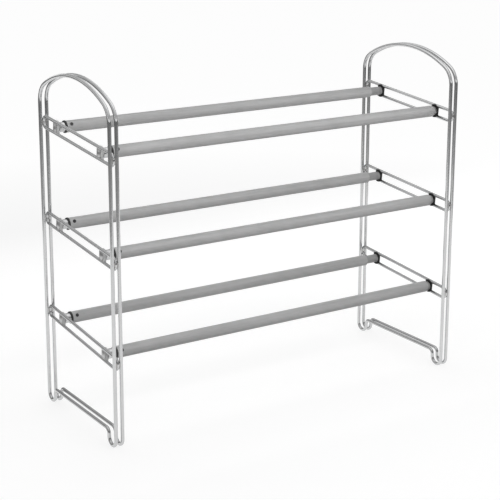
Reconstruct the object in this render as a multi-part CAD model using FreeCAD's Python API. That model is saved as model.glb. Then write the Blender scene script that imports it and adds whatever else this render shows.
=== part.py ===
import FreeCAD, Part
import math
import os

# Three-tier shoe rack that pulls out sideways. Millimetres, +Z up, +X from the left frame to the right
# frame, the front at -Y. The origin is on the floor, midway between the frames and midway in depth.

# --- end frames: two parallel hoop wires each ---
FRAME_SPAN = 611.0          # closed distance between the middles of the two frames
HOOP_WIRE = 5.5             # hoop wire diameter
LEG_DEPTH = 224.0           # front leg to rear leg, wire centres
ARCH_START = 40.5           # top shelf loop, at mid depth, to where the legs run into the arch
ARCH_RISE = 52.0            # from there to the wire centre at the top of the arch
ARCH_CORNER_R = 32.0        # bend from leg to arch
FOOT_R = 10.8               # U-bend under each leg
FOOT_CORNER_R = 8.0         # bend from the foot to the crossbar
FOOT_RISE = 2.45            # straight wire between the U-bend and that bend

# --- shelf loops, welded between the hoop wires ---
LOOP_WIRE = 5.0             # loop wire diameter
LOOP_GAP = 17.3             # upper wire to lower wire, centres
SHELF_FIRST = 137.5         # floor to the bottom loop, at mid depth
SHELF_PITCH = 149.0         # from one tier to the next
SHELF_SLANT = 5.2           # degrees, lower at the front
WELD_GAP = 0.05             # root gap between a loop and a hoop wire
WELD_R = 2.2                # reach of a weld fillet from the root
WELD_LENGTH = 7.0
WELD_CORE = 0.7             # half width of the root that the fillets leave open

# --- telescopic rails ---
RAIL_INSET = 41.5           # a leg to the nearer rail, in depth
HOME_CLEAR = 32.0           # guide plug to end ferrule on a rear rail, closed
OUTER_OD = 18.0             # outer tube
TUBE_WALL = 0.8             # wall of both tubes
TUBE_PLAY = 0.7             # gap between the outer tube's bore and the inner tube
FRONT_MOUTH_INSET = 18.0    # left frame's middle to the open end of a front outer tube, closed
REAR_MOUTH_INSET = 15.5     # the same on a rear outer tube
FRONT_END_INSET = 9.0       # right frame's middle to the closed end of a front outer tube
REAR_END_INSET = 28.0       # the same on a rear outer tube
RUN_FIT = 0.05              # radial clearance of a running fit
SEAT_FIT = 0.05             # radial clearance of a plug or wire in its seat

# --- mouth bush, guide plug and end ferrule ---
BUSH_FLANGE = 2.5           # flange length, in front of the tube
BUSH_RIM = 0.5              # flange over the outer tube's radius
BUSH_SLEEVE = 4.5           # sleeve length, inside the tube
BUSH_ROUND = 0.8            # rounding of the flange's edge
GUIDE_HEAD = 12.0           # guide plug outside the inner tube
GUIDE_SHANK = 14.0          # guide plug inside the inner tube
GUIDE_BORE = 9.0            # hole through the guide plug
FERRULE_NECK = 14.0         # neck diameter
NECK_BORE = 9.0             # blind hole in the neck for the clip's spigot
FERRULE_SHANK = 15.0        # ferrule length inside the outer tube

# --- stop rivet, one per outer tube ---
RIVET_INSET = 7.0           # from the open end of the outer tube
RIVET_ANGLE = 31.0          # degrees above level, on the front of the tube
RIVET_HEAD = 5.2            # head diameter
RIVET_RISE = 0.8            # head height over the tube
RIVET_SHANK = 2.4           # shank diameter
RIVET_CLEAR = 0.2           # shank end to the inner tube
STOP_SLACK = 0.3            # guide plug to rivet shank at full travel

# --- clips, and the button that is pressed into the outer face of each ---
CLIP_WIDTH = 13.0           # along the loop, between the clip's flat sides
CLIP_GRIP = 2.15            # plastic beyond the loop wires' centres, up and down
CLIP_BACK = 1.6             # plastic past the loop wires' centres, towards the outside
CLIP_INNER = 3.8            # loop wires' centres to the face that the tube or neck stands on
CLIP_ROUND = 0.8            # rounding of the clip's edges
SPIGOT_LENGTH = 8.0         # spigot that plugs into the tube or the neck
SPIGOT_CLEAR = 0.5          # end of a spigot or shank to the bottom of its blind hole
BUTTON_CLEAR = 0.4          # button's head to a loop wire
BUTTON_RISE = 1.6           # height of the domed head
BUTTON_SHANK = 5.0          # shank diameter
BUTTON_DEPTH = 7.0          # shank length, inside the clip

TIERS = ("bottom", "middle", "top")
ROWS = {"front": -1, "rear": 1}

# --- what follows from the sizes ---
HALF_SPAN = FRAME_SPAN / 2
HALF_DEPTH = LEG_DEPTH / 2
RAIL_Y = HALF_DEPTH - RAIL_INSET                        # mid depth to a rail
HOOP_OFFSET = (HOOP_WIRE + LOOP_WIRE) / 2 + WELD_GAP    # frame middle to a hoop wire's centre
FOOT_Z = HOOP_WIRE / 2 + FOOT_R                         # centre of a foot's U-bend
CROSSBAR_Z = FOOT_Z + FOOT_RISE + FOOT_CORNER_R         # floor to the crossbar's wire centre
LEG_TOP = SHELF_FIRST + (len(TIERS) - 1) * SHELF_PITCH + ARCH_START
SLANT = math.radians(SHELF_SLANT)
OUTER_ID = OUTER_OD - 2 * TUBE_WALL
INNER_OD = OUTER_ID - 2 * TUBE_PLAY
INNER_ID = INNER_OD - 2 * TUBE_WALL
CHANNEL_R = LOOP_WIRE / 2 + SEAT_FIT
CLIP_OD = LOOP_GAP + 2 * CLIP_GRIP
BUTTON_HEAD_R = (LOOP_GAP - LOOP_WIRE) / 2 - BUTTON_CLEAR
MOUTH_X = {"front": FRONT_MOUTH_INSET - HALF_SPAN, "rear": REAR_MOUTH_INSET - HALF_SPAN}
END_X = {"front": HALF_SPAN - FRONT_END_INSET, "rear": HALF_SPAN - REAR_END_INSET}
STOP_GAP = RIVET_SHANK / 2 + STOP_SLACK                 # rivet's line to the guide plug at full travel
REAR_GUIDE_X = END_X["rear"] - FERRULE_SHANK - HOME_CLEAR - GUIDE_HEAD
TRAVEL = REAR_GUIDE_X - STOP_GAP - RIVET_INSET - MOUTH_X["rear"]

os.makedirs("parts", exist_ok=True)
X_AXIS = FreeCAD.Vector(1, 0, 0)
Y_AXIS = FreeCAD.Vector(0, 1, 0)
Z_AXIS = FreeCAD.Vector(0, 0, 1)
ORIGIN = FreeCAD.Vector(0, 0, 0)
RIVET_TURN = math.radians(180 - RIVET_ANGLE)
RIVET_HEADING = FreeCAD.Vector(0, math.cos(RIVET_TURN), math.sin(RIVET_TURN))


def save(name, shape):
    shape.exportStep(f"parts/{name}.step")


def line(a, b):
    return Part.LineSegment(a, b).toShape()


def arc(a, through, b):
    return Part.Arc(a, through, b).toShape()


def round_wire(edges, diameter):
    """A closed bent wire: a circle swept along closed edges that join smoothly."""
    path = Part.Wire(edges)
    start = edges[0].Vertexes[0].Point
    heading = edges[0].Vertexes[-1].Point - start
    profile = Part.Wire([Part.Circle(start, heading, diameter / 2).toShape()])
    shell = path.makePipeShell([profile], False, False)
    solid = Part.Solid(Part.Shell(shell.Faces))
    if solid.Volume < 0:
        solid.reverse()
    return solid


def rod(x, y, z, diameter, length):
    """A round bar along X that starts at x."""
    return Part.makeCylinder(diameter / 2, length, FreeCAD.Vector(x, y, z), X_AXIS)


def tube(x, y, z, outside, inside, length):
    """A round tube along X that starts at x."""
    return rod(x, y, z, outside, length).cut(rod(x, y, z, inside, length))


def on_circle(x, centre_y, centre_z, radius, degrees):
    """A point on a circle across X; 0 degrees is towards the rear and 90 is up."""
    turn = math.radians(degrees)
    return FreeCAD.Vector(x, centre_y + radius * math.cos(turn), centre_z + radius * math.sin(turn))


def foot_edges(x):
    """From the middle of the crossbar, through the rear foot, to the top of the rear leg."""
    inner_y = HALF_DEPTH - 2 * FOOT_R
    corner_y = inner_y - FOOT_CORNER_R
    corner_z = CROSSBAR_Z - FOOT_CORNER_R
    foot_y = HALF_DEPTH - FOOT_R
    bar_middle = FreeCAD.Vector(x, 0, CROSSBAR_Z)
    corner = [on_circle(x, corner_y, corner_z, FOOT_CORNER_R, turn) for turn in (90, 45, 0)]
    bend = [on_circle(x, foot_y, FOOT_Z, FOOT_R, turn) for turn in (180, 270, 360)]
    leg_top = FreeCAD.Vector(x, HALF_DEPTH, LEG_TOP)
    return [
        line(bar_middle, corner[0]),
        arc(*corner),
        line(corner[-1], bend[0]),
        arc(*bend),
        line(bend[-1], leg_top),
    ]


def arch_edges(x):
    """From the top of the rear leg to the highest point: a tight bend, then one large arc."""
    run = HALF_DEPTH - ARCH_CORNER_R
    drop = (run ** 2 + ARCH_RISE ** 2 - ARCH_CORNER_R ** 2) / (2 * (ARCH_RISE - ARCH_CORNER_R))
    crown_z = LEG_TOP + ARCH_RISE - drop
    meet = math.degrees(math.atan2(LEG_TOP - crown_z, run))
    bend = [on_circle(x, run, LEG_TOP, ARCH_CORNER_R, turn) for turn in (0, meet / 2, meet)]
    crown = [on_circle(x, 0, crown_z, drop, turn) for turn in (meet, (meet + 90) / 2, 90)]
    return [arc(*bend), arc(bend[-1], crown[1], crown[2])]


def mirrored(edges):
    """The same edges on the front side, in the order that closes the loop."""
    return [edge.mirror(ORIGIN, Y_AXIS) for edge in reversed(edges)]


def make_hoop(x):
    rear = foot_edges(x) + arch_edges(x)
    return round_wire(rear + mirrored(rear), HOOP_WIRE)


def shelf_z(tier):
    return SHELF_FIRST + tier * SHELF_PITCH


def rail_z(tier, row):
    return shelf_z(tier) + row * RAIL_Y * math.tan(SLANT)


def loop_end_y():
    """Where a loop's rounded end has its centre, so that the end reaches the leg's centre."""
    return HALF_DEPTH - LOOP_GAP / 2


def make_shelf_loop(x, tier):
    """A racetrack of wire in the plane of the frame, slanted down to the front."""
    half = LOOP_GAP / 2
    reach = loop_end_y() / math.cos(SLANT)
    middle = FreeCAD.Vector(x, 0, half)
    upper = [FreeCAD.Vector(x, reach, half), FreeCAD.Vector(x, -reach, half)]
    lower = [FreeCAD.Vector(x, reach, -half), FreeCAD.Vector(x, -reach, -half)]
    edges = [
        line(middle, upper[0]),
        arc(upper[0], on_circle(x, reach, 0, half, 0), lower[0]),
        line(lower[0], lower[1]),
        arc(lower[1], on_circle(x, -reach, 0, half, 180), upper[1]),
        line(upper[1], middle),
    ]
    loop = round_wire(edges, LOOP_WIRE)
    loop.rotate(ORIGIN, X_AXIS, SHELF_SLANT)
    loop.translate(Z_AXIS * shelf_z(tier))
    return loop


def make_welds(x, hoops, loops):
    """Two fillets, front and rear of the root, where a loop's end lies against a hoop wire."""
    fillets = []
    for tier in range(len(TIERS)):
        for row in ROWS.values():
            end_z = shelf_z(tier) + row * loop_end_y() * math.tan(SLANT)
            for side, hoop in hoops:
                root_x = x + side * (LOOP_WIRE + WELD_GAP) / 2
                foot = FreeCAD.Vector(root_x, row * HALF_DEPTH, end_z - WELD_LENGTH / 2)
                bead = Part.makeCylinder(WELD_R, WELD_LENGTH, foot, Z_AXIS)
                core = Part.makeBox(2 * WELD_R, 2 * WELD_CORE, WELD_LENGTH)
                core.translate(foot - FreeCAD.Vector(WELD_R, WELD_CORE, 0))
                fillets += bead.cut(core).cut(hoop).cut(loops[tier]).Solids
    return Part.makeCompound(fillets)


def make_frame(side_name, x):
    hoops = []
    for side, place in ((-1, "left"), (1, "right")):
        hoop = make_hoop(x + side * HOOP_OFFSET)
        save(f"{side_name}_hoop_{'outer' if place == side_name else 'inner'}", hoop)
        hoops.append((side, hoop))
    loops = [make_shelf_loop(x, tier) for tier in range(len(TIERS))]
    for name, loop in zip(TIERS, loops):
        save(f"{side_name}_shelf_loop_{name}", loop)
    save(f"{side_name}_welds", make_welds(x, hoops, loops))


def make_clip(spigot_diameter):
    """A round body with flat sides that snaps on both loop wires. Made at the origin, for the left frame."""
    slab = Part.makeBox(CLIP_BACK + CLIP_INNER, CLIP_WIDTH, CLIP_OD)
    slab.translate(FreeCAD.Vector(-CLIP_BACK, -CLIP_WIDTH / 2, -CLIP_OD / 2))
    body = rod(-CLIP_BACK, 0, 0, CLIP_OD, CLIP_BACK + CLIP_INNER).common(slab).removeSplitter()
    body = body.makeFillet(CLIP_ROUND, body.Edges)
    for wire in (-1, 1):
        start = FreeCAD.Vector(0, -CLIP_OD, wire * LOOP_GAP / 2)
        body = body.cut(Part.makeCylinder(CHANNEL_R, 2 * CLIP_OD, start, Y_AXIS))
    clip = body.fuse(rod(CLIP_INNER, 0, 0, spigot_diameter, SPIGOT_LENGTH))
    hole_depth = BUTTON_DEPTH + SPIGOT_CLEAR
    return clip.cut(rod(-CLIP_BACK, 0, 0, BUTTON_SHANK + 2 * SEAT_FIT, hole_depth))


def make_button():
    """A domed head on the clip's outer face and a shank in it. Made at the origin, for the left frame."""
    sphere_r = (BUTTON_HEAD_R ** 2 + BUTTON_RISE ** 2) / (2 * BUTTON_RISE)
    centre_x = sphere_r - BUTTON_RISE - CLIP_BACK
    base = math.degrees(math.asin((sphere_r - BUTTON_RISE) / sphere_r))
    dome = Part.makeSphere(sphere_r, FreeCAD.Vector(centre_x, 0, 0), -X_AXIS, base, 90, 360)
    return dome.fuse(rod(-CLIP_BACK, 0, 0, BUTTON_SHANK, BUTTON_DEPTH))


def at_rail(shape, frame_x, inward, tier, row):
    """A clip or button in its place on a frame; inward is +1 on the left frame and -1 on the right."""
    if inward < 0:
        shape = shape.mirror(ORIGIN, X_AXIS)
    shape.rotate(ORIGIN, X_AXIS, SHELF_SLANT)
    shape.translate(FreeCAD.Vector(frame_x, row * RAIL_Y, rail_z(tier, row)))
    return shape


def make_buttons(frame_x, inward):
    places = [(tier, row) for tier in range(len(TIERS)) for row in ROWS.values()]
    return Part.makeCompound([at_rail(make_button(), frame_x, inward, *place) for place in places])


def make_inner_tube(y, z, guide_x):
    """From the left clip's face to the guide plug's shoulder."""
    start = CLIP_INNER - HALF_SPAN
    return tube(start, y, z, INNER_OD, INNER_ID, guide_x - start)


def make_guide_plug(y, z, guide_x):
    """A plug in the inner tube with a head that runs in the outer tube."""
    shank_x = guide_x - GUIDE_SHANK
    head = rod(guide_x, y, z, OUTER_ID - 2 * RUN_FIT, GUIDE_HEAD)
    shank = rod(shank_x, y, z, INNER_ID - 2 * SEAT_FIT, GUIDE_SHANK)
    return head.fuse(shank).cut(rod(shank_x, y, z, GUIDE_BORE, GUIDE_SHANK + GUIDE_HEAD))


def make_mouth_bush(y, z, mouth_x):
    """A flange in front of the outer tube's mouth and a sleeve inside it."""
    flange_x = mouth_x - BUSH_FLANGE
    flange = rod(flange_x, y, z, OUTER_OD + 2 * BUSH_RIM, BUSH_FLANGE)
    rims = [edge for edge in flange.Edges if edge.Closed]
    flange = flange.makeFillet(BUSH_ROUND, [min(rims, key=lambda edge: edge.CenterOfMass.x)])
    sleeve = rod(mouth_x, y, z, OUTER_ID - 2 * SEAT_FIT, BUSH_SLEEVE)
    return flange.fuse(sleeve).cut(rod(flange_x, y, z, INNER_OD + 2 * RUN_FIT, BUSH_FLANGE + BUSH_SLEEVE))


def rivet_bar(axis_point, diameter, start, end):
    """A round bar on the rivet's line, between two distances from the tube's axis."""
    foot = axis_point + RIVET_HEADING * start
    return Part.makeCylinder(diameter / 2, end - start, foot, RIVET_HEADING)


def make_rivet(axis_point):
    """A low round head on the tube and a shank through the wall that stops the guide plug."""
    top = OUTER_OD / 2 + RIVET_RISE
    head = rivet_bar(axis_point, RIVET_HEAD, INNER_OD / 2, top)
    rims = [edge for edge in head.Edges if edge.Closed]
    top_rim = max(rims, key=lambda edge: edge.CenterOfMass.dot(RIVET_HEADING))
    head = head.makeFillet(RIVET_RISE / 2, [top_rim])
    seat_x = axis_point.x - RIVET_HEAD
    seat = rod(seat_x, axis_point.y, axis_point.z, OUTER_OD + 2 * SEAT_FIT, 2 * RIVET_HEAD)
    shank_end = OUTER_OD / 2 + RIVET_RISE / 2
    shank = rivet_bar(axis_point, RIVET_SHANK, INNER_OD / 2 + RIVET_CLEAR, shank_end)
    return head.cut(seat).fuse(shank)


def make_outer_tube(y, z, mouth_x, end_x, rivet_point):
    body = tube(mouth_x, y, z, OUTER_OD, OUTER_ID, end_x - mouth_x)
    return body.cut(rivet_bar(rivet_point, RIVET_SHANK + 2 * SEAT_FIT, INNER_OD / 2, OUTER_OD))


def make_ferrule(y, z, end_x):
    """A shank in the outer tube's closed end and a neck that stands on the right clip."""
    neck_end = HALF_SPAN - CLIP_INNER
    shank = rod(end_x - FERRULE_SHANK, y, z, OUTER_ID - 2 * SEAT_FIT, FERRULE_SHANK)
    neck = rod(end_x, y, z, FERRULE_NECK, neck_end - end_x)
    depth = SPIGOT_LENGTH + SPIGOT_CLEAR
    return shank.fuse(neck).cut(rod(neck_end - depth, y, z, NECK_BORE, depth))


def make_rail(tier, row_name):
    row = ROWS[row_name]
    name = f"{TIERS[tier]}_{row_name}"
    y = row * RAIL_Y
    z = rail_z(tier, row)
    mouth_x = MOUTH_X[row_name]
    end_x = END_X[row_name]
    rivet_point = FreeCAD.Vector(mouth_x + RIVET_INSET, y, z)
    guide_x = rivet_point.x + TRAVEL + STOP_GAP
    left_clip = make_clip(INNER_ID - 2 * SEAT_FIT)
    right_clip = make_clip(NECK_BORE - 2 * SEAT_FIT)
    save(f"left_clip_{name}", at_rail(left_clip, -HALF_SPAN, 1, tier, row))
    save(f"right_clip_{name}", at_rail(right_clip, HALF_SPAN, -1, tier, row))
    save(f"inner_tube_{name}", make_inner_tube(y, z, guide_x))
    save(f"guide_plug_{name}", make_guide_plug(y, z, guide_x))
    save(f"mouth_bush_{name}", make_mouth_bush(y, z, mouth_x))
    save(f"outer_tube_{name}", make_outer_tube(y, z, mouth_x, end_x, rivet_point))
    save(f"end_ferrule_{name}", make_ferrule(y, z, end_x))
    return make_rivet(rivet_point)


make_frame("left", -HALF_SPAN)
make_frame("right", HALF_SPAN)
rivets = [make_rail(tier, row_name) for tier in range(len(TIERS)) for row_name in ROWS]
save("stop_rivets", Part.makeCompound(rivets))
save("left_buttons", make_buttons(-HALF_SPAN, 1))
save("right_buttons", make_buttons(HALF_SPAN, -1))
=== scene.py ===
"""Looks, light and camera for the pull-out shoe rack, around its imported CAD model.

Metres, +Z up. The front is at -Y, and the rack pulls out along X.
"""

import math

import bpy
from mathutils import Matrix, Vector

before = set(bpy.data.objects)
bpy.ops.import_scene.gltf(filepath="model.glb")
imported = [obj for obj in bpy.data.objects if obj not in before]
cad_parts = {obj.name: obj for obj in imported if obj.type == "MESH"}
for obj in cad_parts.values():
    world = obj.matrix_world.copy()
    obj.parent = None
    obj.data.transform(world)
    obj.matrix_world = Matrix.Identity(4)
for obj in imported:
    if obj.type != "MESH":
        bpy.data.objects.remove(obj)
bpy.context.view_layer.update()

WHITE = (1.0, 1.0, 1.0, 1.0)

# --- what rays see directly, and what lights the rack ---
AMBIENT = 0.20              # world strength for the rays that light the rack
FLOOR_COLOUR = (0.30, 0.30, 0.30, 1.0)
FLOOR_GLOW = (0.76, 0.92)   # the floor's own white where rays see it directly: near, far
GLOW_SPAN = (0.4, 1.8)      # distances from the middle between which it rises
FLOOR_REACH = 14.0          # the floor's middle to its sides

# name, (radius, height) of the foot and of the head, tone at the foot and at the head
CARDS = (
    ("card_low", (1.3, 0.0), (1.3, 0.22), 0.45, 0.30),
    ("card_middle", (1.3, 0.22), (1.3, 0.57), 0.20, 0.18),
    ("card_high", (3.2, 1.3), (3.2, 3.4), 0.40, 0.72),
    ("card_top", (3.2, 3.4), (1.7, 3.7), 0.60, 0.60),
)
CARD_SIDES = 72

# name, place, target, (width, height), watts, whether chrome mirrors it
LAMPS = (
    ("overhead", (0.1, 0.0, 0.98), (0.0, 0.0, 0.27), (1.3, 0.5), 1.0, True),
    ("front", (0.15, -0.80, 0.76), (0.15, 0.0, 0.50), (2.4, 0.25), 9.0, False),
    ("rear", (0.15, 0.85, 0.66), (0.15, 0.0, 0.40), (2.4, 0.25), 8.0, False),
)

# --- camera ---
SENSOR_WIDTH = 36.0         # millimetres, as the lens
LENS = 98.83
LENS_SHIFT = (0.03, -0.12)  # in picture widths
EYE = (-1.1520, -1.7512, 0.8364)
LOOK_DOWN = 13.8026         # degrees below level
LOOK_TURN = -32.4986        # degrees about +Z, from a view along +Y
CLIP_END = 60.0


# --- node helpers ---
class Tree:
    """A short way to write a node tree."""

    def __init__(self, tree):
        tree.nodes.clear()
        self.nodes, self.links = tree.nodes, tree.links

    def put(self, kind, settings=None, **inputs):
        """Adds a node. An input is a number, a colour or another node's output."""
        node = self.nodes.new(kind)
        for key, value in (settings or {}).items():
            setattr(node, key, value)
        for key, value in inputs.items():
            self.plug(node, key, value)
        return node

    def plug(self, node, key, value):
        """Sets an input, by its name or number, to a value or joins it to another node's output."""
        socket = node.inputs[key]
        if isinstance(value, bpy.types.NodeSocket):
            self.links.new(value, socket)
        else:
            socket.default_value = value

    def calc(self, operation, *values, clamp=False):
        node = self.put("ShaderNodeMath", {"operation": operation, "use_clamp": clamp})
        for number, value in enumerate(values):
            self.plug(node, number, value)
        return node.outputs[0]

    def weighted(self, *parts):
        """The sum of values times their weights."""
        terms = [self.calc("MULTIPLY", value, weight) for value, weight in parts]
        total = terms[0]
        for term in terms[1:]:
            total = self.calc("ADD", total, term)
        return total

    def remap(self, value, span, to):
        """Takes a value from one span to another, and holds it there."""
        node = self.put("ShaderNodeMapRange", {"clamp": True})
        for number, setting in enumerate((value, *span, *to)):
            self.plug(node, number, setting)
        return node.outputs[0]

    def noise(self, vector, scale=1.0, detail=2.0, rough=0.5):
        node = self.put(
            "ShaderNodeTexNoise", Vector=vector, Scale=scale, Detail=detail, Roughness=rough
        )
        return node.outputs["Fac"]

    def stretched(self, vector, scale):
        """The coordinates times a scale per axis, for marks that run along a part."""
        node = self.put("ShaderNodeVectorMath", {"operation": "MULTIPLY"})
        self.plug(node, 0, vector)
        self.plug(node, 1, scale)
        return node.outputs[0]

    def tint(self, fac, dark, light):
        """A colour between two others."""
        node = self.put("ShaderNodeValToRGB", Fac=fac)
        ends = node.color_ramp.elements
        ends[0].color, ends[1].color = (*dark, 1.0), (*light, 1.0)
        return node.outputs[0]

    def place(self):
        return self.put("ShaderNodeTexCoord").outputs["Object"]

    def surface(self, shader, output="ShaderNodeOutputMaterial"):
        self.plug(self.put(output), "Surface", shader.outputs[0])


def new_material(name):
    made = bpy.data.materials.new(name)
    made.use_nodes = True
    return made, Tree(made.node_tree)


def grey(value, warm=0.0):
    return (value * (1 + warm), value, value * (1 - warm))


# --- materials: noise scales per metre, bump depths in metres ---
NOISE_SPAN = (0.3, 0.7)     # most of a noise's values


def dressed(tree, colour, rough, relief, strength, depth, metallic=0.0, gloss=0.5):
    """Ends a material's tree in a shader with this colour, roughness and bump."""
    bump = tree.put("ShaderNodeBump", Strength=strength, Distance=depth, Height=relief)
    shader = tree.put("ShaderNodeBsdfPrincipled", Metallic=metallic, Roughness=rough)
    tree.plug(shader, "Base Color", colour)
    tree.plug(shader, "Specular IOR Level", gloss)
    tree.plug(shader, "Normal", bump.outputs[0])
    tree.surface(shader)


def chrome_wire():
    """Bright chrome on drawn wire: cloudy tone, pin-head haze and fine hairlines."""
    made, tree = new_material("chrome_wire")
    place = tree.place()
    cloud = tree.noise(place, 9.0, detail=3.0, rough=0.6)
    haze = tree.noise(place, 160.0, detail=4.0, rough=0.7)
    hair = tree.noise(tree.stretched(place, (900.0, 900.0, 25.0)))
    tone = tree.weighted((cloud, 0.6), (haze, 0.4))
    colour = tree.tint(tone, grey(0.50), grey(0.74, -0.01))
    rough = tree.remap(haze, (0.3, 0.75), (0.07, 0.20))
    dressed(tree, colour, rough, hair, strength=0.25, depth=0.00006, metallic=1.0)
    return made


def weld_metal():
    """Weld fillets under the plating: rippled, duller, a little straw coloured where dark."""
    made, tree = new_material("weld_metal")
    place = tree.place()
    ripple = tree.noise(tree.stretched(place, (300.0, 1300.0, 1300.0)))
    stain = tree.noise(place, 220.0, detail=3.0)
    colour = tree.tint(stain, grey(0.26, 0.06), grey(0.60))
    rough = tree.remap(stain, NOISE_SPAN, (0.24, 0.45))
    dressed(tree, colour, rough, ripple, strength=0.6, depth=0.0003, metallic=1.0)
    return made


def inner_tube_chrome():
    """Mirror chrome with rub marks along the slide."""
    made, tree = new_material("inner_tube_chrome")
    place = tree.place()
    rub = tree.noise(tree.stretched(place, (5.0, 700.0, 700.0)), detail=3.0, rough=0.6)
    cloud = tree.noise(place, 14.0)
    colour = tree.tint(cloud, grey(0.48), grey(0.62, -0.01))
    rough = tree.remap(rub, (0.35, 0.7), (0.06, 0.22))
    dressed(tree, colour, rough, rub, strength=0.2, depth=0.00005, metallic=1.0)
    return made


def outer_tube_satin():
    """Satin silver grey tube with fine streaks and faint handling marks along it."""
    made, tree = new_material("outer_tube_satin")
    place = tree.place()
    fine = tree.noise(tree.stretched(place, (9.0, 1100.0, 1100.0)), detail=3.0, rough=0.6)
    broad = tree.noise(tree.stretched(place, (3.5, 130.0, 130.0)))
    cloud = tree.noise(place, 30.0, detail=3.0, rough=0.6)
    tone = tree.weighted((fine, 0.35), (broad, 0.40), (cloud, 0.25))
    colour = tree.tint(tree.remap(tone, NOISE_SPAN, (0.0, 1.0)), grey(0.39), grey(0.54))
    rough = tree.remap(fine, NOISE_SPAN, (0.46, 0.62))
    dressed(tree, colour, rough, fine, strength=0.35, depth=0.00008, metallic=0.2)
    return made


def moulded_plastic(name, dark, light, rough_span, gloss=0.5):
    """Moulded plastic: fine spark grain, flow marks, edges rubbed a little lighter."""
    made, tree = new_material(name)
    place = tree.place()
    spark = tree.noise(place, 1500.0, rough=0.6)
    flow = tree.noise(place, 110.0, detail=3.0, rough=0.6)
    pointed = tree.put("ShaderNodeNewGeometry").outputs["Pointiness"]
    edge = tree.remap(pointed, (0.52, 0.62), (0.0, 0.35))
    tone = tree.calc("ADD", tree.remap(flow, NOISE_SPAN, (0.0, 0.65)), edge, clamp=True)
    colour = tree.tint(tone, dark, light)
    rough = tree.remap(flow, NOISE_SPAN, rough_span)
    dressed(tree, colour, rough, spark, strength=0.4, depth=0.00012, gloss=gloss)
    return made


def ferrule_plastic():
    """Turned plug at the tube's end: fine tool rings round the axis. Its mid grey, darker than the
    tube, is painted shade where the tube meets the clip.
    """
    made, tree = new_material("ferrule_plastic")
    place = tree.place()
    rings = tree.noise(tree.stretched(place, (2600.0, 60.0, 60.0)))
    cloud = tree.noise(place, 90.0, detail=3.0)
    # painted shade: a darker grey than the tube's, for the shade at its end by the clip
    colour = tree.tint(cloud, grey(0.26), grey(0.40))
    rough = tree.remap(cloud, NOISE_SPAN, (0.28, 0.42))
    dressed(tree, colour, rough, rings, strength=0.3, depth=0.0001)
    return made


def rivet_steel():
    """Set rivet, finely pitted. Its near black is painted shade: the dark dot of the stop on the
    tube.
    """
    made, tree = new_material("rivet_steel")
    pits = tree.noise(tree.place(), 1400.0)
    # painted shade: near black, darker than steel
    colour = tree.tint(pits, grey(0.03), grey(0.10))
    rough = tree.remap(pits, NOISE_SPAN, (0.3, 0.5))
    dressed(tree, colour, rough, pits, strength=0.4, depth=0.0001, metallic=0.7)
    return made


def button_steel():
    """Satin grey dome with specks and small dings."""
    made, tree = new_material("button_steel")
    place = tree.place()
    ding = tree.noise(place, 420.0, detail=3.0, rough=0.6)
    speck = tree.noise(place, 1700.0)
    colour = tree.tint(ding, grey(0.48), grey(0.66))
    rough = tree.remap(speck, NOISE_SPAN, (0.26, 0.42))
    dressed(tree, colour, rough, speck, strength=0.3, depth=0.0001, metallic=0.9)
    return made


WIRE = chrome_wire()
# painted light: the left clips get a pale grey and the right ones black; the pale grey stands for
# light reflected off the left clips' outer faces
PALE_PAINTED_LIGHT_CLIP = moulded_plastic("left_clip_plastic", grey(0.52), grey(0.68), (0.28, 0.42))
BLACK_CLIP = moulded_plastic("right_clip_plastic", grey(0.008), grey(0.03), (0.38, 0.55), gloss=0.2)

# the first word that a node's name holds decides its material
FINISHES = {
    "welds": weld_metal(),
    "hoop": WIRE,
    "loop": WIRE,
    "inner_tube": inner_tube_chrome(),
    "outer_tube": outer_tube_satin(),
    # left clips: pale grey, painted light
    "left_clip": PALE_PAINTED_LIGHT_CLIP,
    "right_clip": BLACK_CLIP,
    "bush": moulded_plastic("bush_plastic", grey(0.015), grey(0.05), (0.35, 0.50)),
    "guide": moulded_plastic("guide_plastic", grey(0.04), grey(0.09), (0.40, 0.55)),
    # ferrule: darker than the tube, painted shade
    "ferrule": ferrule_plastic(),
    # rivet: near black, painted shade
    "rivet": rivet_steel(),
    "button": button_steel(),
}

for name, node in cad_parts.items():
    node.data.materials.clear()
    node.data.materials.append(next(made for word, made in FINISHES.items() if word in name))
    for polygon in node.data.polygons:
        polygon.material_index = 0


# --- world, floor, cards and lamps ---
def seen_directly(tree):
    """1 for camera, glossy and transmission rays, 0 for the rays that light the rack."""
    path = tree.put("ShaderNodeLightPath").outputs
    seen = tree.calc("MAXIMUM", path["Is Camera Ray"], path["Is Glossy Ray"])
    return tree.calc("MAXIMUM", seen, path["Is Transmission Ray"])


def set_piece(name, points, faces, finish):
    """A piece of the set, which isn't part of the rack."""
    mesh = bpy.data.meshes.new(name)
    mesh.from_pydata(points, [], faces)
    mesh.materials.append(finish)
    piece = bpy.data.objects.new(name, mesh)
    bpy.context.scene.collection.objects.link(piece)
    return piece


def white_world():
    """Plain white where rays see it directly, and weaker where it lights the rack."""
    world = bpy.data.worlds.new("studio")
    bpy.context.scene.world = world
    world.use_nodes = True
    tree = Tree(world.node_tree)
    strength = tree.remap(seen_directly(tree), (0.0, 1.0), (AMBIENT, 1.0))
    glow = tree.put("ShaderNodeBackground", Color=WHITE, Strength=strength)
    tree.surface(glow, "ShaderNodeOutputWorld")


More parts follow.
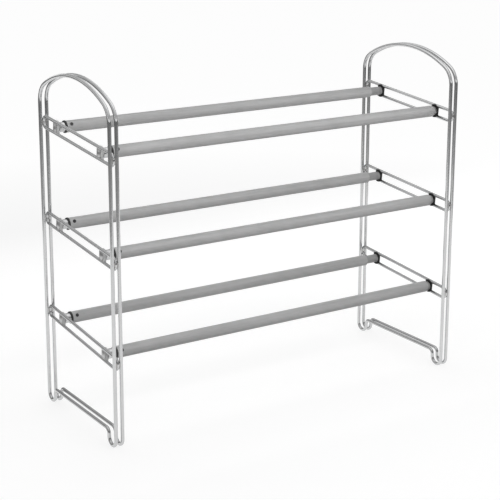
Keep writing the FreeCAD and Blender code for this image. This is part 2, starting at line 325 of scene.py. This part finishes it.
def pale_floor():
    """A grey floor that keeps the rack's shadow, with a glow of its own that makes it white."""
    pale, tree = new_material("floor_pale")
    away = tree.put("ShaderNodeVectorMath", {"operation": "LENGTH"})
    tree.plug(away, 0, tree.place())
    level = tree.remap(away.outputs["Value"], GLOW_SPAN, FLOOR_GLOW)
    strength = tree.calc("MULTIPLY", seen_directly(tree), level)
    lit = tree.put("ShaderNodeBsdfDiffuse", Color=FLOOR_COLOUR)
    own = tree.put("ShaderNodeEmission", Color=WHITE, Strength=strength)
    both = tree.put("ShaderNodeAddShader")
    tree.plug(both, 0, lit.outputs[0])
    tree.plug(both, 1, own.outputs[0])
    tree.surface(both)
    low, high = -FLOOR_REACH, FLOOR_REACH
    corners = [(low, low, 0), (high, low, 0), (high, high, 0), (low, high, 0)]
    plane = set_piece("floor", corners, [(0, 1, 2, 3)], pale)


def grey_card(name, foot, head, foot_tone, head_tone):
    """A grey card in a ring round the set. Only reflections see it: it gives chrome its dark
    lines, as the unlit part of a studio does."""
    points, faces = [], []
    for side in range(CARD_SIDES + 1):
        turn = math.tau * side / CARD_SIDES
        points += [(r * math.cos(turn), r * math.sin(turn), z) for r, z in (foot, head)]
        if side:
            last = len(points) - 1
            faces.append((last - 3, last - 1, last, last - 2))
    cloth, tree = new_material(name)
    height = tree.put("ShaderNodeSeparateXYZ", Vector=tree.place()).outputs["Z"]
    tone = tree.remap(height, (foot[1], head[1]), (foot_tone, head_tone))
    tree.surface(tree.put("ShaderNodeEmission", Color=WHITE, Strength=tone))
    card = set_piece(name, points, faces, cloth)
    card.visible_camera = card.visible_diffuse = card.visible_shadow = False
    card.visible_transmission = card.visible_volume_scatter = False


def stood(name, data, place):
    """A lamp or camera, put into the scene at a place."""
    made = bpy.data.objects.new(name, data)
    made.location = place
    bpy.context.scene.collection.objects.link(made)
    return made


def softbox(name, place, target, size, power, mirrored):
    """A rectangular lamp that faces its target. The camera never sees it."""
    lamp = bpy.data.lights.new(name, "AREA")
    lamp.shape = "RECTANGLE"
    lamp.size, lamp.size_y = size
    lamp.energy = power
    box = stood(name, lamp, place)
    heading = Vector(target) - Vector(place)
    box.rotation_euler = heading.to_track_quat("-Z", "Y").to_euler()
    box.visible_camera = False
    box.visible_glossy = mirrored


bpy.context.scene.view_settings.view_transform = "Standard"
white_world()
pale_floor()
for card in CARDS:
    grey_card(*card)
for lamp in LAMPS:
    softbox(*lamp)

# --- camera ---
camera = bpy.data.cameras.new("camera")
camera.sensor_width = SENSOR_WIDTH
camera.lens = LENS
camera.shift_x, camera.shift_y = LENS_SHIFT
camera.clip_end = CLIP_END
eye = stood("camera", camera, EYE)
eye.rotation_euler = (math.radians(90 - LOOK_DOWN), 0.0, math.radians(LOOK_TURN))
bpy.context.scene.camera = eye
